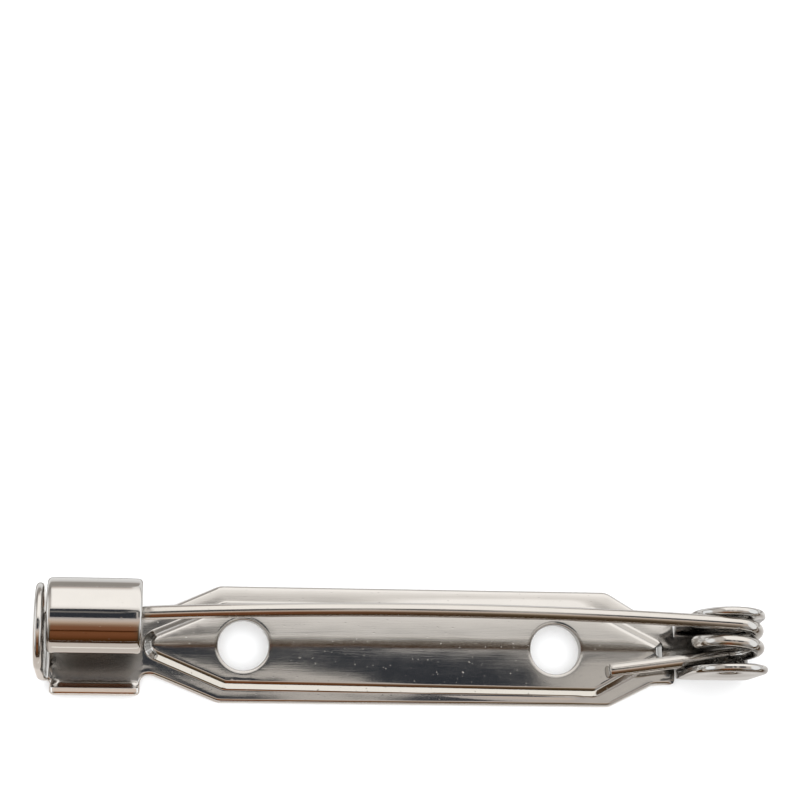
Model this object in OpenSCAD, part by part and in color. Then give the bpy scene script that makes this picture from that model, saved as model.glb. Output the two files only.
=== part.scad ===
// Pin back: a stamped bar with a hooked catch at one end and a sprung needle at the other.
// X runs along the bar towards the hinge, Z points away from the brooch, and the origin
// is on the back face, in the middle of the bar's length and width.

/* [Bar] */
// Overall length
overall_len = 32; // [28:0.5:36]
// Full width of the bar
bar_w = 5.2; // [4.6:0.1:6]
// Thickness of the sheet
sheet = 0.4; // [0.35:0.05:0.5]
// Distance between the sewing holes
hole_spacing = 14; // [10:0.5:15]
// Radius of a sewing hole
hole_r = 1.12; // [0.8:0.02:1.2]
// Where the full width starts, catch side
full_x0 = -8.1; // [-9:0.1:-7.5]
// Where the full width ends, hinge side
full_x1 = 9.5; // [9:0.1:10]
// Half width of the neck beside the catch
neck_w = 1.37; // [1.2:0.01:1.6]
// How far the bar's outline is off the middle line of the panel and the folds
bar_shift = 0.12; // [0:0.01:0.2]

/* [Raised panel] */
// Height of the panel above the flange
panel_up = 0.36; // [0.1:0.02:0.5]
// Half width of the panel, at the foot of its slope
panel_w = 2; // [1.6:0.05:2.1]
// Width of the slope around the panel
panel_slope = 0.42; // [0.2:0.02:0.5]
// Half angle of the panel's point beside the catch
tip_angle = 24.6; // [22:0.1:28]
// Half angle of the panel's end beside the hinge
panel_angle = 27; // [24:1:32]

/* [Catch] */
// Width of the hook along the bar
hook_len = 4; // [3:0.1:4.4]
// Slit between the hook and the end cap
cap_slit = 0.12; // [0.1:0.01:0.3]
// Height of the hook's crown
hook_top = 5.65; // [5.4:0.05:6]
// Outer radius of the rolled crown
crown_r = 1.62; // [1.5:0.01:1.75]
// Outer face of the upright wall
wall_y = 2.3; // [2.2:0.05:2.5]
// Outer radius of the bend under the wall
wall_bend = 0.8; // [0.6:0.05:1]
// Outer radius of the near lip
lip_r = 0.7; // [0.6:0.05:0.8]
// Near edge of the end cap
cap_y0 = -1.6; // [-1.8:0.05:-1.4]
// Far edge of the end cap
cap_y1 = 2.1; // [1.9:0.05:2.2]
// Far edge of the end cap's foot
cap_foot_y = 1.47; // [1.4:0.01:1.5]
// Height where the end cap gets its full width
cap_foot_z = 0.9; // [0.7:0.05:1.2]

/* [Hinge] */
// Length of an ear along the bar
ear_len = 3.4; // [3.2:0.1:3.6]
// Outer face of an ear, at its top
ear_y = 1.45; // [1.42:0.01:1.6]
// Height of the hinge axis
axis_z = 3.15; // [3:0.05:3.4]
// Half width of the bar beside the notches in front of the ears
notch_w = 0.7; // [0.6:0.01:1]
// Length of a notch along the bar
notch_len = 0.1; // [0.08:0.01:0.3]
// How far the ears lean outwards
ear_lean = 2.5; // [0:0.5:4]
// Outer radius of the bend under an ear
ear_bend = 0.55; // [0.5:0.05:0.8]
// Radius of the shallow dish in the ear
dish_r = 1.25; // [1:0.05:1.3]
// Radius of the pressed pin in the middle of the dish
pit_r = 0.72; // [0.5:0.02:0.8]
// How far the pressed pin reaches into the coil
pit_in = 0.42; // [0.3:0.02:0.5]

/* [Wire] */
// Diameter of the spring wire
wire_d = 0.6; // [0.5:0.02:0.62]
// Mean radius of the coil
coil_r = 1.3; // [1.2:0.02:1.35]
// Sideways place of the needle's end of the coil
coil_y = 0.72; // [0.6:0.01:0.72]
// Sideways place of the leg's end of the coil
coil_y_end = -0.35; // [-0.5:0.01:-0.3]
// How much more the coil's first turn goes sideways than its last: 1 for an even coil
coil_lead = 1.25; // [1:0.05:1.5]
// Height of the needle's axis where it enters the hook
catch_z = 4.87; // [4.6:0.01:4.9]
// Bow of the closed needle away from the bar
needle_bow = 0.6; // [0.3:0.05:0.8]
// Bow of the closed needle to the side
needle_side = 0.24; // [0:0.01:0.3]
// Place of the needle's point along the bar
tip_x = -13.9; // [-14.5:0.1:-12.5]
// Length of the ground point
point_len = 2.6; // [2:0.1:5]
// Place of the cut end of the spring's leg
leg_x = 9.4; // [9:0.1:10.5]
// Sideways place of the cut end of the spring's leg
leg_y = -0.955; // [-1:0.005:-0.7]

/* [Hidden] */
$fn = 64;
eps = 0.01;
end_x = overall_len / 2;
wire_r = wire_d / 2;
wire_sides = 16;
cap_x = -end_x;
hook_x0 = cap_x + sheet + cap_slit;
hook_x1 = hook_x0 + hook_len;
crown_z = hook_top - crown_r;
crown_y = wall_y - crown_r;
lip_y = -wall_y;
ear_x0 = end_x - ear_len;
axis_x = end_x - ear_len / 2;
ear_r = ear_len / 2;
ear_top = axis_z + ear_r;
// Where the flat floor ends and the bend under an ear begins
ear_fold = ear_y - (ear_top - ear_bend) * tan(ear_lean) - ear_bend / cos(ear_lean);
bar_half = bar_w / 2;
// The closed needle is an arc: its sagitta is the bow, its chord runs from the coil to the hook.
chord = axis_x - hook_x1;
bow_r = chord * chord / (8 * needle_bow) + needle_bow / 2;
leave_a = atan((catch_z - axis_z - coil_r) / chord) + asin(chord / 2 / bow_r);
// The leg comes off the underside of the coil and drops onto the raised panel.
leg_z = sheet + panel_up + wire_r + 0.02;
leg_a = leg_angle(10, 6);
leg_turn = 540 - leg_a;
// The corner where the panel's pointed end would be sharp, under the catch's edge.
panel_x0 = hook_x1 - 0.74;

function unit(v) = v / norm(v);
function arc(c, r, a0, a1, n = 12) =
    [for (i = [0:n]) let (a = a0 + (a1 - a0) * i / n) c + r * [cos(a), sin(a)]];

// One corner q of an outline, between its neighbours p and s, rounded to the radius r
function corner(p, q, s, r, n = 5) =
    let (u = unit(p - q), v = unit(s - q), h = acos(u * v) / 2,
         c = q + unit(u + v) * r / sin(h), a = q + u * r / tan(h) - c, b = q + v * r / tan(h) - c,
         a0 = atan2(a.y, a.x), turn = atan2(a.x * b.y - a.y * b.x, a * b))
    [for (i = [0:n]) c + r * [cos(a0 + turn * i / n), sin(a0 + turn * i / n)]];

// An outline with rounded corners from rows of x, y, corner radius
function rounded(rows) =
    let (m = len(rows))
    [for (i = [0:m - 1])
        let (p = rows[(i + m - 1) % m], q = rows[i], s = rows[(i + 1) % m])
        each corner([p.x, p.y], [q.x, q.y], [s.x, s.y], q.z)];

// Half an outline and its mirror image as one loop; the fourth number of a row is its share of
// the bar's shift
function mirrored(half) =
    concat([for (q = half) [q.x, q.y + q[3] * bar_shift, q.z]],
           [for (i = [len(half) - 1:-1:0]) let (q = half[i])
               [q.x, q[3] * bar_shift - q.y, q.z]]);

// The angle of the leg, found by repeating the tangent condition a few times
function leg_angle(a, n) =
    n == 0 ? a : leg_angle(atan((axis_z - coil_r * cos(a) - leg_z)
                                / (axis_x + coil_r * sin(a) - leg_x)), n - 1);

// A point of the coil, a degrees past its top on the side away from the catch
function coil_at(a) =
    [axis_x + coil_r * sin(a),
     coil_y_end + (coil_y - coil_y_end) * pow(max(0, 1 - a / 540), coil_lead),
     axis_z + coil_r * cos(a)];

// A point of the needle, s millimetres from the place where it leaves the coil
function needle_at(s) =
    let (a = leave_a - s / bow_r * 180 / PI, t = s / chord)
    [axis_x + (coil_r - bow_r) * sin(leave_a) + bow_r * sin(a),
     coil_at(leave_a).y + 4 * needle_side * t * (1 - t),
     axis_z + (coil_r - bow_r) * cos(leave_a) + bow_r * cos(a)];

// The ring of wire_sides points around a path point p with the direction d
function ring(p, d, r) =
    let (side = unit(cross(d, [0, 1, 0])), up = cross(side, d))
    [for (k = [0:wire_sides - 1]) let (a = 360 * k / wire_sides)
        p + r * (cos(a) * side + sin(a) * up)];

// The raised panel's outline, moved in by e on every side
function panel_outline(e) =
    let (xl = panel_x0 + e / sin(tip_angle), xr = end_x - 4 - e, w = panel_w - e,
         end_w = 0.4 - e / 3)
    rounded([[xl, 0, 0.58 - e], [xl + w / tan(tip_angle), w, 0.6],
             [xr - (w - end_w) / tan(panel_angle), w, 0.6], [xr, end_w, 0.15],
             [xr, -end_w, 0.15], [xr - (w - end_w) / tan(panel_angle), -w, 0.6],
             [xl + w / tan(tip_angle), -w, 0.6]]);

// A solid through outlines with equally many points, each row a clockwise outline and its height
module loft(rows) {
    m = len(rows[0][0]);
    last = (len(rows) - 1) * m;
    polyhedron(
        points = [for (row = rows) for (p = row[0]) [p.x, p.y, row[1]]],
        faces = concat(
            [[for (i = [m - 1:-1:0]) i]],
            [for (k = [0:len(rows) - 2]) for (i = [0:m - 1]) let (j = (i + 1) % m)
                each [[k * m + i, (k + 1) * m + j, (k + 1) * m + i],
                      [k * m + i, k * m + j, (k + 1) * m + j]]],
            [[for (i = [0:m - 1]) last + i]]));
}

// A round wire through path points, with a radius for each
module wire(path, radii) {
    n = len(path);
    m = wire_sides;
    rings = [for (i = [0:n - 1])
        ring(path[i], unit(path[min(i + 1, n - 1)] - path[max(i - 1, 0)]), radii[i])];
    polyhedron(
        points = [for (row = rings) each row],
        faces = concat(
            [[for (k = [m - 1:-1:0]) k]],
            [for (i = [0:n - 2]) for (k = [0:m - 1]) let (j = (k + 1) % m)
                each [[i * m + k, (i + 1) * m + j, (i + 1) * m + k],
                      [i * m + k, i * m + j, (i + 1) * m + j]]],
            [[for (k = [0:m - 1]) (n - 1) * m + k]]));
}

// A flat shape in the YZ plane, drawn with y as x and z as y, thick along X from x0 to x1
module along_x(x0, x1) {
    translate([x0, 0, 0]) rotate([90, 0, 90]) linear_extrude(x1 - x0) children();
}

// A flat shape in the XZ plane, drawn with x as x and z as y, thick along Y from y0 to y1
module along_y(y0, y1) {
    translate([0, y1, 0]) rotate([90, 0, 0]) linear_extrude(y1 - y0) children();
}

// A bent strip of sheet: a ring's sector between two angles, up to 180 degrees apart
module bend(r, a0, a1) {
    intersection() {
        difference() {
            circle(r);
            circle(r - sheet);
        }
        polygon(concat([[0, 0]], arc([0, 0], 2 * r, a0, a1, 4)));
    }
}

// The flat bar from the catch's neck to the hinge
module bar() {
    linear_extrude(sheet) polygon(rounded(mirrored([
        [hook_x1 - 0.6, neck_w, 0.1, 0.5],
        [hook_x1 + 0.3, neck_w, 0.5, 0.5],
        [full_x0, bar_half, 0.8, 1],
        [full_x1, bar_half, 0.8, 1],
        [ear_x0 - 1.1, ear_y + 0.05, 0.5, 0],
        [ear_x0 - notch_len - 0.04, ear_y, 0.18, 0],
        [ear_x0 - notch_len, notch_w, 0.04, 0],
        [ear_x0, notch_w, 0.01, 0]])));
}

// The sloping block of the panel above the height z, moved in by e and continued down by foot
module frustum(e, z, foot) {
    run = panel_slope / panel_up;
    loft([[panel_outline(e + foot * run), z + foot],
          [panel_outline(e + panel_slope), z + panel_up]]);
}

// The panel raised above the flange, and the hollow that the press leaves behind it
module raised_panel() {
    frustum(0, sheet, -0.15);
}
module panel_hollow() {
    frustum(sheet / 4, 0, -0.05);
}

module sewing_holes() {
    for (side = [-1, 1])
        translate([side * hole_spacing / 2, 0, -1]) cylinder(h = 3, r = hole_r);
}

// Floor, near lip, wall and rolled crown: one strip, bent across the bar
module hook() {
    along_x(hook_x0, hook_x1) {
        translate([lip_y + lip_r, 0])
            square([wall_y - wall_bend - lip_y - lip_r, sheet]);
        translate([lip_y + lip_r, lip_r]) bend(lip_r, 178, 270);
        translate([wall_y - wall_bend, wall_bend]) bend(wall_bend, 270, 360);
        translate([wall_y - sheet, wall_bend - eps])
            square([sheet, crown_z - wall_bend + 2 * eps]);
        translate([crown_y, crown_z]) bend(crown_r, 0, 180);
        translate([crown_y - crown_r, crown_z - 0.15]) square([sheet, 0.15 + eps]);
    }
}

// The tab at the end of the floor, bent up to close the hook's outer side
module end_cap() {
    r = 0.6;
    cap_mid = (cap_y0 + cap_y1) / 2;
    cap_r = (cap_y1 - cap_y0) / 2;
    intersection() {
        along_y(cap_y0, cap_y1) {
            translate([cap_x + r, r]) bend(r, 180, 270);
            translate([cap_x + r, 0]) square([hook_x0 - cap_x - r + 0.3, sheet]);
            translate([cap_x, r - eps]) square([sheet, hook_top - r]);
        }
        along_x(cap_x - eps, hook_x0 + 1) {
            translate([cap_y0, 0]) square([cap_foot_y - cap_y0, cap_foot_z + eps]);
            translate([cap_y0, cap_foot_z])
                square([2 * cap_r, hook_top - cap_r - cap_foot_z]);
            translate([cap_mid, hook_top - cap_r - 0.05]) circle(cap_r);
        }
    }
}

// Both ears as one folded strip, with rounded ends
module ears() {
    r = ear_bend;
    intersection() {
        along_x(ear_x0, end_x) {
            translate([-ear_fold, 0]) square([2 * ear_fold, sheet]);
            for (side = [0, 1]) mirror([side, 0]) translate([ear_fold, r]) {
                bend(r, 270, 360 - ear_lean);
                rotate(-ear_lean) translate([r - sheet, -eps]) square([sheet, ear_top]);
            }
        }
        along_y(-ear_y - 1, ear_y + 1) {
            translate([ear_x0, 0]) square([ear_len, axis_z]);
            translate([axis_x, axis_z]) circle(ear_r);
        }
    }
}

// Turned about the middle of each ear: a profile of radius and depth, with depth 0 outside
module about_axis(profile) {
    for (side = [0, 1]) mirror([0, side, 0])
        translate([axis_x, ear_y, ear_top]) rotate([-ear_lean, 0, 0]) translate([0, 0, -ear_r])
            rotate([90, 0, 0]) rotate_extrude() polygon(profile);
}

// The pressed pin inside each ear, and the dish and pit that it leaves outside
module pressed_pins() {
    about_axis([[0, sheet / 2], [pit_r + 0.12, sheet / 2], [pit_r, sheet + 0.08],
                [pit_r * 0.72, sheet + pit_in], [0, sheet + pit_in]]);
}
module pressed_pits() {
    dish = 0.12;
    about_axis([[0, -eps], [dish_r, -eps], [dish_r, 0], [pit_r * 0.72, dish],
                [pit_r * 0.45, sheet + pit_in - 0.25], [0, sheet + pit_in - 0.22]]);
}

module back_plate() {
    color("gainsboro") difference() {
        union() {
            bar();
            raised_panel();
            hook();
            end_cap();
            ears();
            pressed_pins();
        }
        panel_hollow();
        sewing_holes();
        pressed_pits();
    }
}

// The straight part of the wire, ground to a point
module needle() {
    steps = 24;
    far = chord + hook_x1 - tip_x;
    path = [for (i = [0:steps]) needle_at(0.02 + (far - 0.02) * i / steps)];
    radii = [for (i = [0:steps]) let (rest = far * (1 - i / steps))
        rest < point_len ? max(0.03, wire_r * pow(rest / point_len, 0.8)) : wire_r];
    color("silver") wire(path, radii);
}

// The rest of the wire: one and a half turns and the leg that rests on the bar
module spring_coil() {
    turns = [for (i = [0:52]) coil_at(leave_a + (leg_turn - leave_a) * i / 52)];
    path = concat(turns, [[leg_x, leg_y, leg_z]]);
    color("silver") wire(path, [for (p = path) wire_r]);
}

// The folds and the wire stand off the middle, so that the bar itself is in the middle
module set_off() {
    translate([0, -bar_shift, 0]) children();
}

set_off() back_plate();
set_off() needle();
set_off() spring_coil();
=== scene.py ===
# %% [markdown]
# # A pin back made of one pressed sheet and one spring wire
# This is the finding that sits on the back of a brooch. A press cuts a flat blank out of thin
# sheet, raises a panel along it, punches two sewing holes and folds up a hooked catch, an end
# cap, a small lip and two ears. A single steel wire is the rest: a needle, one and a half
# turns of spring between the ears, and a short leg that pushes on the bar.
# The frame gives where everything is, in metres. The shapes here are worked out in
# millimetres, because that is how such a part is thought of, and scaled once at the end.

# %% Load the frame
import math

import bpy
import numpy as np
from mathutils import Matrix, Vector, geometry


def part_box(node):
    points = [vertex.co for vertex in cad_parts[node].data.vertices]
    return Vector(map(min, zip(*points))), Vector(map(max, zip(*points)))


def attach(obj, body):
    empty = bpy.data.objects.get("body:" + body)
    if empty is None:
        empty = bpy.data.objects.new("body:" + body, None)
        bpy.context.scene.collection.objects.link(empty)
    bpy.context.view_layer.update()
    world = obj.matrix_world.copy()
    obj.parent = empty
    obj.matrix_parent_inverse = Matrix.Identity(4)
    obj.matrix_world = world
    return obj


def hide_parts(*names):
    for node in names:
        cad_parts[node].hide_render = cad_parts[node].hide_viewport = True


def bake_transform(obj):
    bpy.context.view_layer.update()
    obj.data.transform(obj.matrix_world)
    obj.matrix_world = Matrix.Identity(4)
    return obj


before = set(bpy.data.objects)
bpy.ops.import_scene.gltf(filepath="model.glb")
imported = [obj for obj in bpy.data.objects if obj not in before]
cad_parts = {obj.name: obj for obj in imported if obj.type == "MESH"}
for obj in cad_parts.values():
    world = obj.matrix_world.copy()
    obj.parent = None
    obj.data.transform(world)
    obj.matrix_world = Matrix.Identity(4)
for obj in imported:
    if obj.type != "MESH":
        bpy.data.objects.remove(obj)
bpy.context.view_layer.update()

MM = 0.001
plate_lo, plate_hi = (np.array(corner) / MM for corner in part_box("back_plate"))
print("plate from", plate_lo.round(3), "to", plate_hi.round(3), "mm")

# %% [markdown]
# ## Driving sizes
# The ends of the plate come from the frame. The rest are the sizes that a toolmaker would
# write on the drawing of the blank: the sheet, the radii of the folds, the raised panel, the
# holes. The fold radii are those of the outside of the sheet. The press has struck the panel
# and the folds a little off the middle of the bar: that is the shift, and the drawing is
# measured from the middle line of the folds. A name that ends in TAN is the slope of a ramp,
# one that ends in REACH is the distance over which an effect fades, and ROLL is how far the
# shears drag the surface down along an edge.

# %% Driving sizes, in millimetres
# The sheet, and what the frame gives
SHEET = 0.4
CAP_X, END_X = plate_lo[0], plate_hi[0]
BAR_HALF = plate_hi[1]
HOOK_TOP = plate_hi[2]
# The catch: the hook, its lip and the end cap
CAP_SLIT, HOOK_LEN = 0.12, 4.0
HOOK_X0 = CAP_X + SHEET + CAP_SLIT
HOOK_X1 = HOOK_X0 + HOOK_LEN
WALL_Y, WALL_BEND, CROWN_R = 2.3, 0.8, 1.62
CROWN_Z = HOOK_TOP - CROWN_R
LIP_R, LIP_STAND = 0.7, 0.05
CAP_BEND, CAP_Y0, CAP_Y1 = 0.6, -1.6, 2.1
# The ears and the hinge's axis
EAR_LEN, EAR_Y, EAR_BEND, EAR_LEAN = 3.4, 1.45, 0.55, math.radians(2.5)
AXIS_X, AXIS_Z = END_X - EAR_LEN / 2, 3.15
EAR_TOP = AXIS_Z + EAR_LEN / 2
EAR_X0 = END_X - EAR_LEN
# The bar, its two holes and its raised panel
FULL_X0, FULL_X1, NECK_W = -8.1, 9.5, 1.37
SHIFT = 0.12
HOLE_X, HOLE_R = 7.0, 1.12
PANEL_UP, PANEL_W, PANEL_CORNER, END_CORNER = 0.36, 2.0, 0.6, 0.15
PANEL_CROWN, CROWN_REACH, FOOT_GROOVE, GROOVE_REACH = 0.026, 0.6, 0.007, 0.35
FLANK_TAN, FOOT_ROUND, TOP_ROUND = 1.12, 0.07, 0.16
FLARE_TAN, FLARE_W, PANEL_SLANT = 0.27, 0.36, (-0.035, 0.12)
HOLE_DIP, DIP_REACH = 0.005, 0.3
PANEL_TIP, PANEL_END, PANEL_END_W = HOOK_X1 - 1.08, END_X - 4.0, 0.4
TIP_ANGLE, END_ANGLE, TIP_ROUND = math.radians(23), math.radians(27), 0.74
# The dishes in the ears, and the edges of the sheet
DISH_R, DISH_IN, PIT_R, PIT_IN, PIT_SOFT = 1.45, 0.11, 0.45, 0.3, 0.13
EDGE_R, EDGE_DROP, HOLE_EDGE_R, EDGE_INSET = 0.16, 0.1, 0.05, 0.18
DIE_ROLL, DIE_REACH = 0.035, 0.3
BACK_ROLL, BACK_REACH, LIP_LEAN = 0.04, 0.18, -0.085
print(f"hook {HOOK_X0:.2f} to {HOOK_X1:.2f}, ears {EAR_X0:.2f} to {END_X:.2f} mm")

# %% [markdown]
# ## Folding
# A fold neither stretches nor shrinks the middle of the sheet, so a strip that is to become a
# round crown is as long in the blank as the crown's middle line. Each strip is described by a
# list of steps: a straight length, or a bend with its outer radius and its angle. The same
# list gives the length that the blank needs and the place where a point ends up.

# %% The strips that are folded
QUARTER, HALF_TURN = math.pi / 2, math.pi


def strip_length(steps):
    """The length of a strip in the blank: straight lengths, plus angle times middle radius."""
    return sum(step if np.isscalar(step) else step[1] * (step[0] - SHEET / 2) for step in steps)


def folded(u, depth, steps):
    """Carries a point of the sheet along a folded strip. u is the distance past the fold line
    and depth the distance from the outer face. A bend turns about a centre that lies its
    outer radius above the outer face, so the point is at centre - (radius - depth) * normal,
    with the normal turned by (u - start) / middle radius. Returns how far the point is out
    from the fold line and how far it is up."""
    out, up = u.copy(), depth.copy()
    place, angle, done = np.zeros(2), 0.0, 0.0
    for step in list(steps) + [1e3]:
        bend = None if np.isscalar(step) else step
        length = step if bend is None else bend[1] * (bend[0] - SHEET / 2)
        here = u > done
        along = u[here] - done
        if bend is None:
            way = np.array([math.cos(angle), math.sin(angle)])
            normal = np.array([-way[1], way[0]])
            spot = place + along[:, None] * way + depth[here, None] * normal
            place = place + length * way
        else:
            centre = place + bend[0] * np.array([-math.sin(angle), math.cos(angle)])
            turned = angle + np.minimum(along, length) / (bend[0] - SHEET / 2)
            normals = np.stack([-np.sin(turned), np.cos(turned)], 1)
            spot = centre - (bend[0] - depth[here, None]) * normals
            angle += bend[1]
            place = centre - bend[0] * np.array([-math.sin(angle), math.cos(angle)])
        out[here], up[here] = spot.T
        done += length
    return out, up


HOOK_STEPS = [(WALL_BEND, QUARTER), CROWN_Z - WALL_BEND, (CROWN_R, HALF_TURN), 0.15]
LIP_STEPS = [(LIP_R, QUARTER), LIP_STAND]
CAP_STEPS = [(CAP_BEND, QUARTER), HOOK_TOP - 0.05 - CAP_BEND]
EAR_STEPS = [(EAR_BEND, QUARTER - EAR_LEAN),
             (EAR_TOP - EAR_BEND * (1 - math.sin(EAR_LEAN))) / math.cos(EAR_LEAN)]
HOOK_FOLD = WALL_Y - WALL_BEND
LIP_FOLD = WALL_Y - LIP_R
EAR_FOLD = (EAR_Y - EAR_BEND / math.cos(EAR_LEAN)
            - (EAR_TOP - EAR_BEND) * math.tan(EAR_LEAN))
CAP_FOLD = CAP_X + CAP_BEND
HOOK_T = HOOK_FOLD + strip_length(HOOK_STEPS)
LIP_T = -LIP_FOLD - strip_length(LIP_STEPS)
CAP_S = CAP_FOLD - strip_length(CAP_STEPS)
EAR_T = EAR_FOLD + strip_length(EAR_STEPS)
EAR_AXIS_T = EAR_T - EAR_LEN / 2
print(f"blank {CAP_S:.2f} to {END_X:.2f} long, {LIP_T:.2f} to {HOOK_T:.2f} wide at the hook")

# %% [markdown]
# ## The outline of the blank
# The punch's outline is a list of corners, each with its radius, as on a drawing. The long
# tongue at the left is the end cap, the strip going up is the hook, the stub going down is
# the lip, and the two tongues at the right are the ears. Small notches beside the ears keep
# the fold from tearing the bar. The two sides of the bar share one list, whose last number
# says how much of the shift a corner takes: none where it belongs to the folds, all of it
# where it belongs to the bar, and half where the two meet.

# %% Outline helpers
def unit(v):
    """A vector, or each row of an array, made one long."""
    return v / np.linalg.norm(v, axis=-1, keepdims=True)


def rounded(rows, step=0.07):
    """The loop through rows of s, t and radius. A corner with half angle h becomes an arc
    about the point radius / sin(h) away on the middle line, from one edge to the other."""
    rows = np.asarray(rows, float)
    arcs = []
    for before, here, after in zip(np.roll(rows, 1, 0), rows, np.roll(rows, -1, 0)):
        corner, radius = here[:2], here[2]
        u, v = unit(before[:2] - corner), unit(after[:2] - corner)
        half = math.acos(u @ v) / 2
        centre = corner + unit(u + v) * radius / math.sin(half)
        a = corner + u * radius / math.tan(half) - centre
        b = corner + v * radius / math.tan(half) - centre
        turn = math.atan2(a[0] * b[1] - a[1] * b[0], a @ b)
        angles = math.atan2(a[1], a[0]) + turn * np.linspace(
            0, 1, max(3, math.ceil(abs(turn) * radius / step)))
        arcs.append(centre + radius * np.stack([np.cos(angles), np.sin(angles)], 1))
    return np.concatenate(arcs)


def dense(loop, step):
    """The same closed loop with its long edges cut into equal parts no longer than step."""
    way = np.roll(loop, -1, 0) - loop
    parts = np.maximum(1, np.ceil(np.linalg.norm(way, axis=1) / step)).astype(int)
    edge = np.repeat(np.arange(len(loop)), parts)
    number = np.arange(parts.sum()) - np.repeat(np.cumsum(parts) - parts, parts)
    return loop[edge] + way[edge] * (number / parts[edge])[:, None]


def outward(loop):
    """For each point of an anticlockwise loop, the step that moves both its edges out by one:
    the sum of the edges' outward normals n1 + n2, over 1 + n1 . n2."""
    way = unit(np.roll(loop, -1, 0) - loop)
    after = np.stack([way[:, 1], -way[:, 0]], 1)
    before = np.roll(after, 1, 0)
    return (before + after) / (1 + (before * after).sum(1, keepdims=True))


# %% The blank's outline and its two holes
HOOK_X1_NEAR, NECK_X = HOOK_X1 - 0.03, HOOK_X1 + 0.5
NOTCH_X, NOTCH_T = EAR_X0 - 0.045, 0.7
EAR_ROUND, CAP_ROUND = EAR_LEN / 2 - 0.01, (CAP_Y1 - CAP_Y0) / 2 - 0.01
CAP_STEP_S, SLIT_T = CAP_FOLD - 0.95, 1.47
bar_side = [(NECK_X, NECK_W, .5, .5), (FULL_X0, BAR_HALF, .8, 1), (FULL_X1, BAR_HALF, .8, 1),
            (EAR_X0 - 1.1, 1.5, .5, 0), (NOTCH_X - .04, 1.44, .18, 0),
            (NOTCH_X, NOTCH_T, .015, 0), (EAR_X0, NOTCH_T, .015, 0),
            (EAR_X0, EAR_T, EAR_ROUND, 0), (END_X, EAR_T, EAR_ROUND, 0)]
near_side = ([(HOOK_X0 + .05, LIP_T, .25), (HOOK_X1_NEAR, LIP_T, .25),
              (HOOK_X1_NEAR, SHIFT / 2 - NECK_W, .35)]
             + [(s, part * SHIFT - t, r) for s, t, r, part in bar_side])
far_side = [(s, part * SHIFT + t, r) for s, t, r, part in bar_side[::-1]]
far_side += [(HOOK_X1, SHIFT / 2 + NECK_W, .35), (HOOK_X1, HOOK_T, .25),
             (HOOK_X0, HOOK_T, .25), (HOOK_X0, SLIT_T, .06), (CAP_STEP_S, SLIT_T, .2),
             (CAP_STEP_S, CAP_Y1, .25), (CAP_S, CAP_Y1, CAP_ROUND),
             (CAP_S, CAP_Y0, CAP_ROUND), (HOOK_X0 + .05, CAP_Y0, .1)]
outline = rounded(near_side + far_side)
round_angles = np.linspace(0, 2 * math.pi, 96, endpoint=False)
circle = np.stack([np.cos(round_angles), np.sin(round_angles)], 1)
hole_centres = [np.array([-HOLE_X, 0.0]), np.array([HOLE_X, 0.0])]
print(len(outline), "outline points")

# %% [markdown]
# ## Relief
# The press also moves the sheet along its own thickness. The raised panel has an outline of
# its own, and a point's distance to it gives the height: nothing outside, then a ramp that is
# rounded at its foot and at its top. Towards the hinge a shallow flare is added outside the
# foot. The panel is very slightly crowned, which is what makes a long reflection run along
# it, and the sheet dips a little at the punched holes. The shears roll the sheet's rim down
# on the pin side, and up on the back. The ears have a shallow dish with a deeper pit, whose
# other side is the stud that the spring turns on.

# %% Relief along the thickness
def smooth(x):
    """The smooth step 3x^2 - 2x^3 between 0 and 1."""
    x = np.clip(x, 0, 1)
    return x * x * (3 - 2 * x)


def panel_row(inset):
    """The panel's outline moved in by inset, with the corners of the drawing. Moved in by one,
    a sloping edge crosses the end (1 - sin angle) / cos angle nearer the middle, and a round
    corner loses one of its radius. The near edge is a little slanted, so that the panel is
    wider towards the hinge."""
    tip, tip_round = PANEL_TIP + inset / math.sin(TIP_ANGLE), max(TIP_ROUND - inset, 0.05)
    end, width, corner = PANEL_END - inset, PANEL_W - inset, max(PANEL_CORNER - inset, 0.05)
    end_w = PANEL_END_W - inset * (1 - math.sin(END_ANGLE)) / math.cos(END_ANGLE)
    end_round = END_CORNER - inset / 6
    run = width / math.tan(TIP_ANGLE)
    end_run = (width - end_w) / math.tan(END_ANGLE)
    return rounded([(tip, 0, tip_round), (tip + run, -width - PANEL_SLANT[0], corner),
                    (end - end_run, -width - PANEL_SLANT[1], corner), (end, -end_w, end_round),
                    (end, end_w, end_round), (end - end_run, width, corner),
                    (tip + run, width, corner)])


def inside(points, loop):
    """Even-odd rule: a point is inside if a ray to its right crosses the loop an odd number
    of times."""
    x, y = points[:, 0, None], points[:, 1, None]
    (x0, y0), (x1, y1) = loop.T, np.roll(loop, -1, 0).T
    crossed = (y0 > y) != (y1 > y)
    at = x0 + (y - y0) / np.where(y1 == y0, 1, y1 - y0) * (x1 - x0)
    return (crossed & (at > x)).sum(1) % 2 == 1


def distance(points, loop):
    """The distance of each point to the nearest edge of a loop."""
    way = np.roll(loop, -1, 0) - loop
    from_start = points[:, None] - loop
    part = np.clip((from_start * way).sum(-1) / (way ** 2).sum(-1), 0, 1)
    return np.linalg.norm(from_start - part[..., None] * way, axis=-1).min(1)


panel_foot = panel_row(0.0)


def panel_inset(s, t):
    """How far inside the panel's foot a point is: its distance to the outline, taken as
    negative outside."""
    points = np.stack([s, t], 1)
    return distance(points, panel_foot) * np.where(inside(points, panel_foot), 1, -1)


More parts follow.
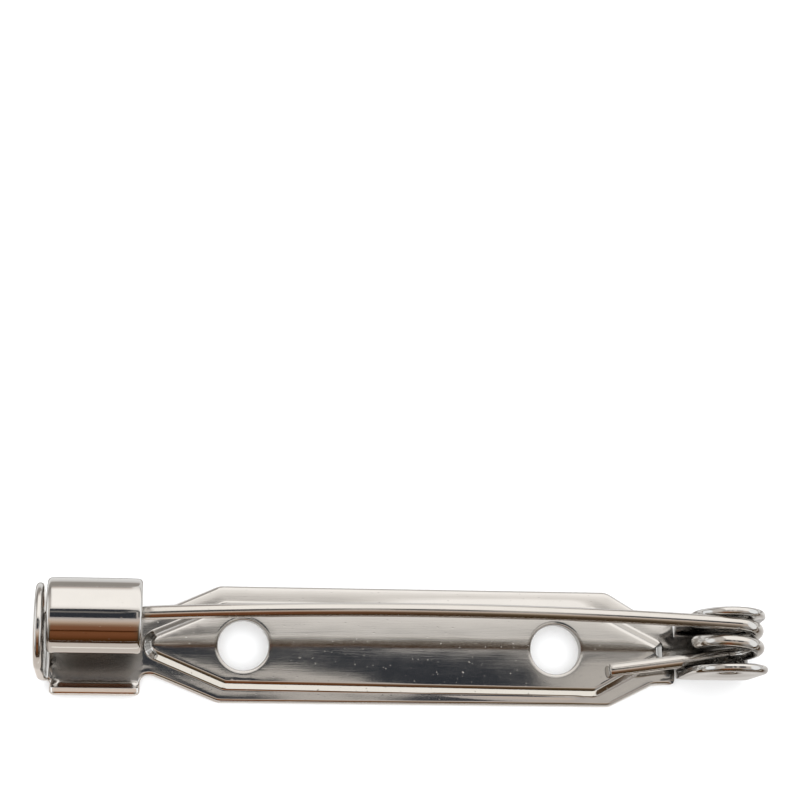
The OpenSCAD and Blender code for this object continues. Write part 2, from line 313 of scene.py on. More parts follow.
def panel_lift(inset):
    """The press's flank: a straight ramp of tangent m, with a parabola of width a at its foot
    and one of width c at its top. Written with squares of max(x, 0), which is the slope's own
    rise and fall taken up twice: m (x^2 - (x - a)^2) / 2a for the foot, and the same from
    where the top's round begins, over 2c, taken away."""
    top = PANEL_UP / FLANK_TAN + (FOOT_ROUND - TOP_ROUND) / 2
    return FLANK_TAN * sum(
        sign * (np.maximum(inset - start, 0) ** 2 - np.maximum(inset - start - width, 0) ** 2)
        / (2 * width) for sign, start, width in ((1, 0, FOOT_ROUND), (-1, top, TOP_ROUND)))


def foot_flare(inset, s):
    """A shallow rise outside the panel's foot, towards the hinge only: m (inset + w)^2 / 2w
    over the width w, level inside it. It grows over the 9 mm after s = -3, and is gone 3 mm
    before the panel's end."""
    rise = FLARE_TAN * np.clip(inset + FLARE_W, 0, FLARE_W) ** 2 / (2 * FLARE_W)
    return rise * smooth((s + 3) / 9) * smooth((PANEL_END - 3 - s) / 1.5)


def relief(s, t, depth):
    """How far the press moves a point towards the pin side: the higher of the panel's flank
    and the flare, plus the panel's crown of 1 - (t / width)^2, the dish and pit in the ears
    and the rim's roll on the back, less the rim's roll on the pin side, a groove around the
    panel's foot and a dip around each hole. Rolls and dips fade as exp(-distance / reach)."""
    inset = panel_inset(s, t)
    lift = np.maximum(panel_lift(inset), foot_flare(inset, s))
    to_edge = distance(np.stack([s, t], 1), outline)
    lift -= DIE_ROLL * np.exp(-to_edge / DIE_REACH) * depth / SHEET
    lift += BACK_ROLL * np.exp(-to_edge / BACK_REACH) * (1 - depth / SHEET)
    lift += PANEL_CROWN * smooth(inset / CROWN_REACH) * (1 - (t / PANEL_W) ** 2)
    lift -= FOOT_GROOVE * np.exp(-(np.minimum(inset, 0) / GROOVE_REACH) ** 2) * depth / SHEET
    for centre in hole_centres:
        gap = np.hypot(s - centre[0], t - centre[1]) - HOLE_R
        lift -= HOLE_DIP * np.exp(-np.clip(gap, 0, 9) / DIP_REACH) * (inset > 0)
    spot = np.hypot(s - AXIS_X, np.abs(t) - EAR_AXIS_T)
    lift += DISH_IN * np.maximum(1 - (spot / DISH_R) ** 2, 0) ** 2
    pit_edge = PIT_R + 0.2 * depth / SHEET
    lift += PIT_IN * smooth((pit_edge + PIT_SOFT - spot) / (2 * PIT_SOFT))
    return lift


def place_in_part(s, t, depth):
    """From the blank to the finished part: the sheared edge of the lip leans, the relief is
    added to the depth, and then each of the five folded strips is carried along its steps."""
    at_lip = smooth((LIP_T + 0.4 - t) / 0.4) * ((s > HOOK_X0 - 0.2) & (s < HOOK_X1 + 0.4))
    t = t - LIP_LEAN * (1 - depth / SHEET) * at_lip
    lifted = depth + relief(s, t, depth)
    x, y, z = s.copy(), t.copy(), lifted.copy()
    hook = (s > HOOK_X0 - 1e-6) & (s < HOOK_X1 + 0.4) & (t > HOOK_FOLD)
    out, up = folded(t[hook] - HOOK_FOLD, lifted[hook], HOOK_STEPS)
    y[hook], z[hook] = HOOK_FOLD + out, up
    lip = (s > HOOK_X0 - 0.2) & (s < HOOK_X1 + 0.4) & (t < -LIP_FOLD)
    out, up = folded(-t[lip] - LIP_FOLD, lifted[lip], LIP_STEPS)
    y[lip], z[lip] = -LIP_FOLD - out, up
    cap = (s < CAP_FOLD) & (t > CAP_Y0 - 0.01) & ~hook
    out, up = folded(CAP_FOLD - s[cap], lifted[cap], CAP_STEPS)
    x[cap], z[cap] = CAP_FOLD - out, up
    ear = (s > EAR_X0 - 0.02) & (np.abs(t) > EAR_FOLD)
    out, up = folded(np.abs(t[ear]) - EAR_FOLD, lifted[ear], EAR_STEPS)
    y[ear], z[ear] = np.sign(t[ear]) * (EAR_FOLD + out), up
    return np.stack([x, y - SHIFT, z], 1)


# %% [markdown]
# ## The skin of the blank
# The blank's faces could be a plain grid, but its outline is full of corners, and a polished
# sheet shows every uneven triangle. So the points are laid where the shape needs them: rows
# that follow the edge, rows that follow the panel's slope, rings around the holes and dishes,
# and grids whose lines run along the folds. A Delaunay triangulation joins them up, and the
# triangles outside the outline are dropped. The same net serves both sides of the sheet. The
# rows on the slope lie closest together where it bends most, because there a coarse net would
# make the reflections jagged.

# %% Points of the net
def grid(s_range, t_range, s_step, t_step):
    """All crossings of two evenly spaced sets of lines."""
    s = np.linspace(*s_range, max(2, round((s_range[1] - s_range[0]) / s_step)))
    t = np.linspace(*t_range, max(2, round((t_range[1] - t_range[0]) / t_step)))
    return np.stack(np.meshgrid(s, t), -1).reshape(-1, 2)


edge_loop = dense(outline, 0.12)
inner_loop = edge_loop - EDGE_INSET * outward(edge_loop)
hole_loops = [centre + HOLE_R * circle[::-1] for centre in hole_centres]
hole_inner = [centre + (HOLE_R + EDGE_INSET) * circle[::-1] for centre in hole_centres]
edge_rows = [edge_loop - (EDGE_INSET + more) * outward(edge_loop) for more in (0.035, 0.09)]
hole_rows = [centre + (HOLE_R + EDGE_INSET + more) * circle
             for centre in hole_centres for more in (0.03, 0.08, 0.15, 0.24)]
slope_rows = [dense(panel_row(inset), 0.13) for inset in np.concatenate(
    [np.arange(-0.38, -0.09, 0.055), np.arange(-0.084, 0.51, 0.027)])]
dish_rings = [np.array([AXIS_X, side * EAR_AXIS_T]) + radius * circle[::2]
              for side in (-1, 1) for radius in np.arange(0.06, 1.4, 0.075)]
grids = [grid((HOOK_X0, END_X), (-BAR_HALF, BAR_HALF), 0.22, 0.21),
         grid((HOOK_X0, HOOK_X1), (HOOK_FOLD - 0.1, HOOK_T), 0.25, 0.1),
         grid((HOOK_X0, HOOK_X1), (LIP_T, -LIP_FOLD + 0.1), 0.25, 0.08),
         grid((CAP_S, HOOK_X0 + 0.1), (CAP_Y0, CAP_Y1), 0.09, 0.25),
         grid((EAR_X0, END_X), (EAR_FOLD - 0.1, EAR_T), 0.22, 0.09),
         grid((EAR_X0, END_X), (-EAR_T, -EAR_FOLD + 0.1), 0.22, 0.09)]

# %% The net
def clear_of(points, gap_edge, gap_hole):
    """Which points lie inside the outline, this far from it and from the holes."""
    keep = inside(points, outline) & (distance(points, outline) > gap_edge)
    for centre in hole_centres:
        keep &= np.hypot(*(points - centre).T) > HOLE_R + gap_hole
    return points[keep]


# The sets of points keep a little off the rows along the edges, and the grids leave the
# slope, the dishes and their surroundings to the rows and rings made for them.
slopes = clear_of(np.concatenate(slope_rows), EDGE_INSET + 0.13, EDGE_INSET + 0.29)
flats = clear_of(np.concatenate(grids), EDGE_INSET + 0.16, EDGE_INSET + 0.33)
inset = panel_inset(flats[:, 0], flats[:, 1])
to_axis = np.hypot(flats[:, 0] - AXIS_X, np.abs(flats[:, 1]) - EAR_AXIS_T)
in_fold = (flats[:, 1] > HOOK_FOLD - 0.1) & (flats[:, 0] < HOOK_X1)
flats = flats[((inset < -0.44) | (inset > 0.56) | in_fold) & (to_axis > 1.42)]
rings = clear_of(np.concatenate(dish_rings), EDGE_INSET + 0.11, 0)
supports = clear_of(np.concatenate(edge_rows + hole_rows), EDGE_INSET + 0.02, EDGE_INSET + 0.02)
loops = [inner_loop] + hole_inner
net_points = np.concatenate(loops + [slopes, flats, rings, supports])
starts = np.cumsum([0] + [len(loop) for loop in loops])
net_edges = [(int(start + i), int(start + (i + 1) % len(loop)))
             for start, loop in zip(starts, loops) for i in range(len(loop))]
found = geometry.delaunay_2d_cdt([Vector(p) for p in net_points], net_edges, [], 0, 1e-5)
net = np.array([tuple(p) for p in found[0]])
print(len(net_points), "points given,", len(net), "in the net")
triangles = np.array(found[2])
corners = net[triangles]
side_a, side_b = corners[:, 1] - corners[:, 0], corners[:, 2] - corners[:, 0]
turned = side_a[:, 0] * side_b[:, 1] - side_a[:, 1] * side_b[:, 0] < 0
triangles[turned] = triangles[turned][:, ::-1]
middles = net[triangles].mean(1)
kept = inside(middles, inner_loop)
for loop in hole_inner:
    kept &= ~inside(middles, loop)
triangles = triangles[kept]
print(len(triangles), "triangles on each side")

# %% [markdown]
# ## The edge, and the finished sheet
# A sheared edge that has been tumbled and plated is round on both sides. The edge is a small
# profile carried around each loop: a rounding off the pin side, a short flat, and a quarter
# circle onto the back. Along the bar the first rounding is longer downwards and the second is
# smaller; at the lip the first is tight, and in the notches both are. Its first and last rows
# are the net's own points, so the sheet is closed.

# %% Making a mesh object
def make_piece(name, points_mm, faces, **attributes):
    """A smooth mesh object from points in millimetres, with its place in its mesh, and a
    vector attribute for each named array."""
    mesh = bpy.data.meshes.new(name)
    mesh.from_pydata((points_mm * MM).tolist(), [], faces)
    for key, values in attributes.items():
        mesh.attributes.new(key, "FLOAT_VECTOR", "POINT").data.foreach_set(
            "vector", np.ascontiguousarray(values, np.float32).ravel())
    mesh.polygons.foreach_set("use_smooth", np.ones(len(mesh.polygons), bool))
    mesh.validate()
    mesh.update()
    piece = bpy.data.objects.new(name, mesh)
    bpy.context.scene.collection.objects.link(piece)
    print(name, len(mesh.vertices), "points", len(mesh.polygons), "faces")
    return piece


# %% The sheet's points, faces and edges
LIP_TIGHT, NOTCH_TIGHT, BACK_TIGHT = 0.75, 0.88, 0.5
arc, flat = np.linspace(0, QUARTER, 7)[:, None], np.array([[0.12], [0.88]])
net_count = len(net)
blank = [np.column_stack([net, np.full(net_count, SHEET)]),
         np.column_stack([net, np.zeros(net_count)])]
on_edge = [np.zeros(2 * net_count)]
faces = triangles.tolist() + (triangles[:, ::-1] + net_count).tolist()
used = 2 * net_count
for start, loop, radius in zip(starts, [edge_loop] + hole_loops,
                               [EDGE_R, HOLE_EDGE_R, HOLE_EDGE_R]):
    step_out, count = outward(loop), len(loop)
    s, t = loop.T
    on_bar = smooth((s - HOOK_X1 - 0.2) / 0.8) * smooth((EAR_X0 - 0.1 - s) / 0.8)
    at_notch = smooth((0.35 - np.abs(s - NOTCH_X)) / 0.2) * (np.abs(t) < 1.5)
    on_lip = (t < LIP_T + 0.3) & (s < HOOK_X1 + 0.2)
    front = radius * (1 - LIP_TIGHT * on_lip - NOTCH_TIGHT * at_notch)
    drop = front * (1 + EDGE_DROP / EDGE_R * on_bar)
    back = radius * (1 - BACK_TIGHT * on_bar - NOTCH_TIGHT * at_notch)
    moved = np.concatenate([front * (np.sin(arc) - 1), np.zeros((len(flat), count)),
                            back * (np.cos(arc) - 1)])
    depth = np.concatenate([SHEET + drop * (np.cos(arc) - 1),
                            back + (SHEET - drop - back) * (1 - flat),
                            back * (1 - np.sin(arc))])
    rows = loop[None] + moved[:, :, None] * step_out[None]
    blank.append(np.dstack([rows, depth]).reshape(-1, 3))
    on_edge.append(np.repeat(np.sin(np.pi * np.linspace(0, 1, len(rows))), count))
    ids = np.vstack([start + np.arange(count),
                     used + np.arange(len(rows) * count).reshape(-1, count),
                     net_count + start + np.arange(count)])
    after = np.roll(ids, -1, 1)
    quads = np.stack([ids[:-1], ids[1:], after[1:], after[:-1]], -1).reshape(-1, 4)
    faces += quads.tolist()
    used += len(rows) * count
blank = np.concatenate(blank)
edge_share = np.concatenate(on_edge)
print(len(blank), "points in the closed sheet")

# %% [markdown]
# ## Folding it up, with painted shade and roughness
# Every point now goes from the blank to its place in the part. Each also gets a factor for the
# colour of the metal and an addition to its roughness. The floor of the catch and the hinge
# between the ears are painted a little darker, as painted shade in these recesses, and are a
# little duller; the rims of the holes are darker; the edge of the lip is painted paler, as a
# painted highlight.

# %% The pressed sheet
# Painted shade: the colour is darkened on the catch's floor and at the hinge between the ears,
# where shade falls in the recesses.
CATCH_PAINTED_SHADE, HINGE_PAINTED_SHADE, HOLE_DARK, LIP_PAINTED_HIGHLIGHT = 0.1, 0.55, 0.6, 0.4
EDGE_DULL, HOLE_DULL, LIP_DULL, CATCH_DULL, HINGE_DULL = 0.04, 0.2, 0.1, 0.12, 0.08
s, t, depth = blank.T
at_hook = (s < HOOK_X1 + 0.05) & (s > HOOK_X0 - 0.3)
on_top = depth > SHEET / 2
in_catch = (at_hook & on_top & (t > -1.7)) * smooth((s - HOOK_X0 - 0.2) / 0.4)
at_hole = np.abs(np.hypot(np.abs(s) - HOLE_X, t) - HOLE_R) < 0.06
at_lip = at_hook & (t < LIP_T + 0.1)
in_hinge = on_top * smooth((s - NOTCH_X + 0.5) / 0.6) * (np.abs(t) < EAR_AXIS_T + 0.6)
# The lip's edge is made paler than the metal's own colour as a painted highlight.
painted_shade_and_tone = (1 - CATCH_PAINTED_SHADE * in_catch - HINGE_PAINTED_SHADE * in_hinge
         - edge_share * (HOLE_DARK * at_hole - LIP_PAINTED_HIGHLIGHT * at_lip))
dulling = (edge_share * (EDGE_DULL + HOLE_DULL * at_hole + LIP_DULL * at_lip)
           + CATCH_DULL * in_catch + HINGE_DULL * in_hinge)
pressed_sheet = make_piece("pressed_sheet", place_in_part(s, t, depth), faces,
                           blank=np.column_stack([s, t, np.zeros(len(blank))]),
                           finish=np.column_stack([painted_shade_and_tone, dulling, np.zeros(len(blank))]))

# %% [markdown]
# ## The wire
# The needle, the spring and the leg are one wire, so they are one tube here: a circle carried
# along a path. The closed needle is a shallow arc that leaves the top of the coil, the coil
# goes down one and a half turns from one ear to the other, and the leg runs straight from
# the underside of the coil to the bar. The numbers are those of the frame's own wire.

# %% The path of the wire
WIRE_R, COIL_R, COIL_Y, COIL_Y_END, COIL_LEAD = 0.3, 1.3, 0.72 - SHIFT, -0.35 - SHIFT, 1.25
CATCH_Z, NEEDLE_BOW, NEEDLE_SIDE = 4.87, 0.6, 0.24
TIP_X, POINT_LEN, POINT_TAPER, POINT_END = -13.9, 2.6, 0.8, 0.0008
LEG_X, LEG_Y = 9.4, -0.955 - SHIFT
LEG_Z = SHEET + PANEL_UP + WIRE_R + 0.02
CHORD = AXIS_X - HOOK_X1
BOW_R = CHORD ** 2 / (8 * NEEDLE_BOW) + NEEDLE_BOW / 2
LEAVE = math.atan((CATCH_Z - AXIS_Z - COIL_R) / CHORD) + math.asin(CHORD / 2 / BOW_R)


def coil_at(angle):
    """The coil an angle past its top: a circle of the coil's radius about the hinge axis,
    that moves from one side to the other over one and a half turns, as 1 - (1 - part)^lead."""
    left = np.maximum(1 - angle / (3 * math.pi), 0) ** COIL_LEAD
    return np.column_stack([AXIS_X + COIL_R * np.sin(angle),
                            COIL_Y_END + (COIL_Y - COIL_Y_END) * left,
                            AXIS_Z + COIL_R * np.cos(angle)])


def needle_at(length):
    """The needle at a length from the coil: an arc of the bow's radius that touches the coil
    where it leaves it, with a slight bow to the side of 4 * side * t * (1 - t)."""
    angle, part = LEAVE - length / BOW_R, length / CHORD
    start_y = coil_at(np.array([LEAVE]))[0, 1]
    return np.column_stack([
        AXIS_X + (COIL_R - BOW_R) * math.sin(LEAVE) + BOW_R * np.sin(angle),
        start_y + 4 * NEEDLE_SIDE * part * (1 - part),
        AXIS_Z + (COIL_R - BOW_R) * math.cos(LEAVE) + BOW_R * np.cos(angle)])


# The leg's slope sets where it leaves the coil, and that place sets the slope: a few rounds
# of putting one into the other settle both.
leg_angle = 0.17
for _ in range(8):
    leg_angle = math.atan((AXIS_Z - COIL_R * math.cos(leg_angle) - LEG_Z)
                          / (AXIS_X + COIL_R * math.sin(leg_angle) - LEG_X))
needle_len = CHORD + HOOK_X1 - TIP_X
lengths = needle_len - np.concatenate([np.linspace(0, POINT_LEN, 40),
                                       np.linspace(POINT_LEN + 0.2, needle_len - 0.01, 90)])
turns = coil_at(np.linspace(LEAVE, 3 * math.pi - leg_angle, 150))
leg_end = np.array([LEG_X, LEG_Y, LEG_Z])
leg = turns[-1] + (leg_end - turns[-1]) * np.linspace(0.03, 1, 24)[:, None]
wire_path = np.concatenate([needle_at(lengths), turns, leg])
from_tip = needle_len - lengths
radii = np.full(len(wire_path), WIRE_R)
radii[:len(lengths)] = WIRE_R * np.clip(from_tip / POINT_LEN, POINT_END, 1) ** POINT_TAPER
print(f"needle {needle_len:.1f} mm, leg ends at {leg_end}")

# %% The wire
def tube(path, radii, sides=28):
    """A circle carried along a path. The circle's plane is spanned by the cross product of
    the path's direction with Y and by the direction that is square to both. Both ends are
    closed with a fan to their middle."""
    way = unit(np.gradient(path, axis=0))
    side = unit(np.cross(way, [0.0, 1.0, 0.0]))
    up = np.cross(side, way)
    angle = np.linspace(0, 2 * math.pi, sides, endpoint=False)
    ring = (np.cos(angle)[:, None, None] * side + np.sin(angle)[:, None, None] * up)
    points = path + radii[:, None] * ring
    count = len(path)
    ids = np.arange(sides * count).reshape(sides, count)
    after = np.roll(ids, -1, 0)
    quads = np.stack([ids[:, :-1], after[:, :-1], after[:, 1:], ids[:, 1:]], -1).reshape(-1, 4)
    first, last = sides * count, sides * count + 1
    fans = [(first, int(b), int(a)) for a, b in zip(ids[:, 0], after[:, 0])]
    fans += [(last, int(a), int(b)) for a, b in zip(ids[:, -1], after[:, -1])]
    run = np.concatenate([[0], np.cumsum(np.linalg.norm(np.diff(path, axis=0), axis=1))])
    marks = np.stack([np.broadcast_to(run, (sides, count)),
                      np.broadcast_to(np.cos(angle)[:, None] * WIRE_R, (sides, count)),
                      np.broadcast_to(np.sin(angle)[:, None] * WIRE_R, (sides, count))], -1)
    points = np.concatenate([points.reshape(-1, 3), path[[0, -1]]])
    marks = np.concatenate([marks.reshape(-1, 3), [[run[0], 0, 0], [run[-1], 0, 0]]])
    return points, quads.tolist() + fans, marks


end_way = unit(leg_end - turns[-1])
chamfer = np.array([0.0, 0.03, 0.05, 0.055])
thinner = np.array([0.0, 0.008, 0.035, 0.08])
wire_path = np.concatenate([wire_path[:-1], leg_end + (chamfer - chamfer[-1])[:, None] * end_way])
radii = np.concatenate([radii[:-1], WIRE_R - thinner])
wire_points, wire_faces, wire_marks = tube(wire_path, radii)
spring_wire = make_piece("spring_wire", wire_points, wire_faces, along=wire_marks,
                         finish=np.tile([1.0, 0.0, 0.0], (len(wire_points), 1)))

# %% [markdown]
# ## Metal
# Both pieces are bright steel, and bright metal is nearly all reflection: its look comes from
# a small roughness, from how that roughness varies, and from what stands around it. The sheet
# has been rolled and tumbled, so its fine lines run along the blank and stay with it through
# the folds; that is why the pattern reads the blank's own coordinates, kept as an attribute.
# The wire was drawn through a die, so its lines run along the wire.

# %% Node helpers
def new_material(name):
    """An empty node material and its tree."""
    material = bpy.data.materials.new(name)
    material.use_nodes = True
    material.node_tree.nodes.clear()
    return material, material.node_tree


def add(tree, kind, links=(), **values):
    """Adds a node, sets its properties and sockets by name, and links its inputs."""
    node = tree.nodes.new(kind)
    for key, value in values.items():
        if key in node.inputs:
            node.inputs[key].default_value = value
        else:
            setattr(node, key, value)
    for key, source in dict(links).items():
        tree.links.new(source, node.inputs[key])
    return node


def pattern(tree, source, stretch, scale, detail=3.0, roughness=0.5):
    """Noise on coordinates that are stretched first, so that its grain gets a direction."""
    mapping = add(tree, "ShaderNodeMapping", {"Vector": source}, Scale=stretch)
    return add(tree, "ShaderNodeTexNoise", {"Vector": mapping.outputs["Vector"]},
               Scale=scale, Detail=detail, Roughness=roughness).outputs["Fac"]


def spread(tree, source, low, high, start=0.3, end=0.7):
    """Carries a noise value from start..end onto low..high."""
    node = add(tree, "ShaderNodeMapRange", {"Value": source})
    for key, value in (("From Min", start), ("From Max", end), ("To Min", low), ("To Max", high)):
        node.inputs[key].default_value = value
    return node.outputs["Result"]


def total(tree, *parts):
    """The sum of several values."""
    result = parts[0]
    for part in parts[1:]:
        result = add(tree, "ShaderNodeMath", {0: result, 1: part}).outputs["Value"]
    return result


# %% Bright sheet and drawn wire
LINE_HEIGHT, PIT_DEPTH = 0.0006, 0.0022


def metal(name, attribute, tint, dull, grain, wave):
    """Bright metal. Its colour drifts between two close tints, its roughness is a sum of
    clouds and of fine lines, and its bumps are the waviness, the lines and a few small pits.
    An attribute of the piece gives a factor for its colour, which on the sheet is painted
    shade, a painted highlight and darker hole rims, and an addition to its roughness. dull
    holds the roughness between the clouds and in them, and what the lines and the nicks add;
    grain is how fine the lines are, wave how high the waviness is."""
    material, tree = new_material(name)
    marks = add(tree, "ShaderNodeAttribute", attribute_name=attribute).outputs["Vector"]
    finish = add(tree, "ShaderNodeAttribute", attribute_name="finish").outputs["Vector"]
    finish = add(tree, "ShaderNodeSeparateXYZ", {"Vector": finish})
    clouds = pattern(tree, marks, (0.5, 1, 1), 1.1)
    lines = pattern(tree, marks, (0.35, 9, 9), grain, 4.0, 0.65)
    nicks = pattern(tree, marks, (3, 14, 3), 1.7, 2.0)
    pits = spread(tree, pattern(tree, marks, (1, 1, 1), 7.0, 1.0), 1.0, 0.0, 0.72, 0.79)
    colour = add(tree, "ShaderNodeMix", {"Factor": clouds}, data_type="RGBA")
    colour.inputs["A"].default_value, colour.inputs["B"].default_value = tint
    # The colour is scaled here by the painted shade and painted highlight that the piece carries.
    shaded = add(tree, "ShaderNodeVectorMath",
                 {0: colour.outputs["Result"], "Scale": finish.outputs["X"]}, operation="SCALE")
    rough = total(tree, spread(tree, clouds, dull[0], dull[1]), finish.outputs["Y"],
                  spread(tree, lines, 0.0, dull[2]), spread(tree, nicks, 0.0, dull[3], 0.62, 0.8))
    slow = add(tree, "ShaderNodeBump", {"Height": pattern(tree, marks, (0.45, 1, 1), 0.9, 1.0)},
               Strength=1.0, Distance=wave * MM)
    fine = add(tree, "ShaderNodeBump", {"Height": lines, "Normal": slow.outputs["Normal"]},
               Strength=1.0, Distance=LINE_HEIGHT * MM)
    pitted = add(tree, "ShaderNodeBump", {"Height": pits, "Normal": fine.outputs["Normal"]},
                 Strength=1.0, Distance=PIT_DEPTH * MM)
    shader = add(tree, "ShaderNodeBsdfPrincipled",
                 {"Base Color": shaded.outputs["Vector"], "Roughness": rough,
                  "Normal": pitted.outputs["Normal"]}, Metallic=1.0)
    output = add(tree, "ShaderNodeOutputMaterial")
    tree.links.new(shader.outputs["BSDF"], output.inputs["Surface"])
    return material


sheet_metal = metal("polished_sheet_metal", "blank",
                    ((0.58, 0.572, 0.556, 1), (0.65, 0.638, 0.62, 1)),
                    (0.05, 0.08, 0.02, 0.04), 1.6, 0.005)
wire_metal = metal("drawn_wire_metal", "along",
                   ((0.56, 0.545, 0.52, 1), (0.63, 0.612, 0.585, 1)),
                   (0.10, 0.14, 0.06, 0.05), 1.2, 0.003)
pressed_sheet.data.materials.append(sheet_metal)
spring_wire.data.materials.append(wire_metal)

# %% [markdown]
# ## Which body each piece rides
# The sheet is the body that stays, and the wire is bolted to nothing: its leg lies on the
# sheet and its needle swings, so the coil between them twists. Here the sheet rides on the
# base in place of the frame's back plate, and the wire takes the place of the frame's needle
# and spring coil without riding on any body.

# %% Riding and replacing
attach(pressed_sheet, "base")
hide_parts("back_plate")
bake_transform(spring_wire)
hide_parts("needle", "spring_coil")

# %% [markdown]
# ## Floor and light
# A polished part shows what stands around it, so the room is built from cards of light that
# only reflections see. Most are pieces of a cylinder around the bar's own direction, at an
# angle measured from straight above towards the far side. The dark card overhead, like the
# camera in a real studio, gives the dark stripe on the catch and the dark half of the panel.
# A broad box on the far side gives the bright half, a narrower one fills the near side, and
# brown cards low in front give the warm band on the catch and under the needle. The low cards
# stand end to end along the part. From the bar onwards to the hinge's side each changes evenly
# into the next one's light, because from behind the flat panel would show a hard border.
# Three level strips just above the floor are what the folds and the undersides mirror.

# %% Floor
FLOOR_HALF, FLOOR_COLOUR = 2500.0, (0.93, 0.93, 0.93, 1)
floor_points = FLOOR_HALF * np.array([[-1, -1, 0], [1, -1, 0], [1, 1, 0], [-1, 1, 0]])
floor = make_piece("floor", floor_points, [(0, 1, 2, 3)])
pale_floor, tree = new_material("pale_floor")
shader = add(tree, "ShaderNodeBsdfPrincipled", Roughness=0.85)
shader.inputs["Base Color"].default_value = FLOOR_COLOUR
shader.inputs["Specular IOR Level"].default_value = 0.2
output = add(tree, "ShaderNodeOutputMaterial")
tree.links.new(shader.outputs["BSDF"], output.inputs["Surface"])
floor.data.materials.append(pale_floor)


# %% Cards
def lit(name, points, light):
    """A sheet of light from a grid of points and a grid of colours, which only reflections
    see: it is hidden from the camera, lights no floor and casts no shadow."""
    rows, columns = points.shape[:2]
    ids = np.arange(rows * columns).reshape(rows, columns)
    quads = np.stack([ids[:-1, :-1], ids[:-1, 1:], ids[1:, 1:], ids[1:, :-1]], -1).reshape(-1, 4)
    piece = make_piece(name, points.reshape(-1, 3), quads.tolist(), light=light.reshape(-1, 3))
    material, tree = new_material(name + "_light")
    glow = add(tree, "ShaderNodeAttribute", attribute_name="light")
    shader = add(tree, "ShaderNodeEmission", {"Color": glow.outputs["Vector"]}, Strength=1.0)
    output = add(tree, "ShaderNodeOutputMaterial")
    tree.links.new(shader.outputs[0], output.inputs["Surface"])
    piece.data.materials.append(material)
    piece.visible_camera = piece.visible_shadow = piece.visible_diffuse = False


def card(name, radius, columns, stops, last_stops=None):
    """A piece of a cylinder about the X axis. Each column gives x and the two angles between
    which the card reaches there; each stop gives an angle in the first column and the colour
    of the light there. Between them both change evenly, and so does the light along x where
    the last column has stops of its own."""
    columns = np.array(columns, float)
    across, lights = np.linspace(0, 1, 241), []
    for rows in (np.array(stops, float), np.array(last_stops or stops, float)):
        share = (rows[:, 0] - columns[0, 1]) / (columns[0, 2] - columns[0, 1])
        lights.append(np.stack([np.interp(across, share, rows[:, k]) for k in (1, 2, 3)], 1))
    x, start, end = columns.T[:, :, None]
    along = ((x - x[0]) / (x[-1] - x[0]))[..., None]
    angle = np.radians(start + across * (end - start))
    points = np.stack([x + 0 * angle, radius * np.sin(angle), radius * np.cos(angle)], -1)
    lit(name, points, lights[0] + along * (lights[1] - lights[0]))


def table(name, x_range, height, stops):
    """A level strip, from x to x. Each stop gives y and the colour of the light there."""
    stops = np.array(stops, float)
    x, y = np.meshgrid(np.array(x_range, float), stops[:, 0], indexing="ij")
    points = np.stack([x, y, np.full(x.shape, height)], -1)
    lit(name, points, np.broadcast_to(stops[:, 1:], points.shape))


# %% The room, as the metal sees it
DARK = (.04, .045, .055)
card("card_overhead", 150,
     [(-60, -14.5, 11.2), (-11, -14.5, 11), (-10, 3, 9.5), (-9, 5, 8.5), (-7, 5.2, 8.45),
      (-5, 5.9, 8.4), (-3, 6.0, 8.4), (3, 6.0, 8.4), (7, 5.6, 8.4), (13, 4.1, 8.4), (16, 0, 8.4),
      (19, -12, 8.3), (24, -12, 8.0), (27, -12, 7.1), (35, -12, 6.6)],
     [(-14.5, *DARK), (11.2, *DARK)])
card("card_lens", 149, [(-60, -0.5, 4.5), (-11.8, -0.5, 4.5)],
     [(-0.5, .12, .115, .11), (2, .32, .3, .28), (4.5, .12, .115, .11)])
card("card_slot", 150, [(-11, -14.5, 3.5), (4, -14.5, 3.5)], [(-14.5, *DARK), (3.5, *DARK)])
card("card_overhead_grey", 151,
     [(-12, 8.2, 12.6), (-7, 8.2, 11), (-3, 8.2, 9.9), (10, 8.2, 8.6)],
     [(8.2, .14, .135, .135), (9.5, .17, .16, .15), (12.6, .34, .32, .30)])
card("card_overhead_band", 151,
     [(20, 7.6, 8.3), (30, 6.2, 8.2), (36, 6.8, 8.3), (60, 7.8, 8.3)],
     [(7.6, .26, .25, .24), (8.3, .2, .19, .185)])
card("card_overhead_hinge", 150, [(54, -12, 8), (120, -12, 8)], [(-12, *DARK), (8, *DARK)])
card("card_far_box", 190, [(-260, 8.2, 89.8), (-6, 8.2, 89.8)],
     [(8.2, .30, .28, .26), (8.8, .62, .58, .55), (9.6, .80, .76, .72), (12, 1, .95, .9),
      (18, 1.4, 1.35, 1.3), (24, 1.45, 1.4, 1.34), (74, 1.4, 1.35, 1.3), (81, .98, .89, .84),
      (87, .5, .45, .41), (89.8, .4, .37, .34)])
card("card_far_box_right", 190, [(-6, 8.2, 89.8), (260, 8.2, 89.8)],
     [(8.2, .40, .38, .36), (8.8, .66, .63, .60), (9.6, .80, .77, .73), (12, 1, .95, .9),
      (18, 1.4, 1.35, 1.3), (74, 1.4, 1.35, 1.3), (89.8, 1.05, 1, .96)])
card("card_far_wing", 189, [(-260, 13, 89.5), (-45, 13, 89.5)],
     [(13, .7, .66, .62), (30, .75, .7, .66), (89.5, .3, .28, .26)])
card("card_near_box", 190, [(-260, -29, 8.2), (260, -29, 8.2)],
     [(-29, .66, .49, .37), (-22, .78, .67, .585), (-15, .63, .58, .55), (8.2, .68, .64, .59)])
BROWN = [(-89.8, .07, .028, .008), (-82, .12, .044, .013), (-75, .19, .066, .025),
         (-66, .24, .09, .038), (-56.5, .24, .09, .036), (-56, .09, .026, .006),
         (-52, .09, .026, .006), (-51.5, .26, .105, .05), (-41, .285, .126, .066),
         (-34.5, .405, .256, .168), (-29, .66, .49, .37)]
UMBER = [(-89.8, .05, .032, .016), (-60, .12, .08, .044), (-41, .24, .185, .13),
         (-29, .66, .54, .44)]
PALE = [(-89.8, .34, .33, .32), (-60, .4, .385, .37), (-29, .66, .6, .55)]
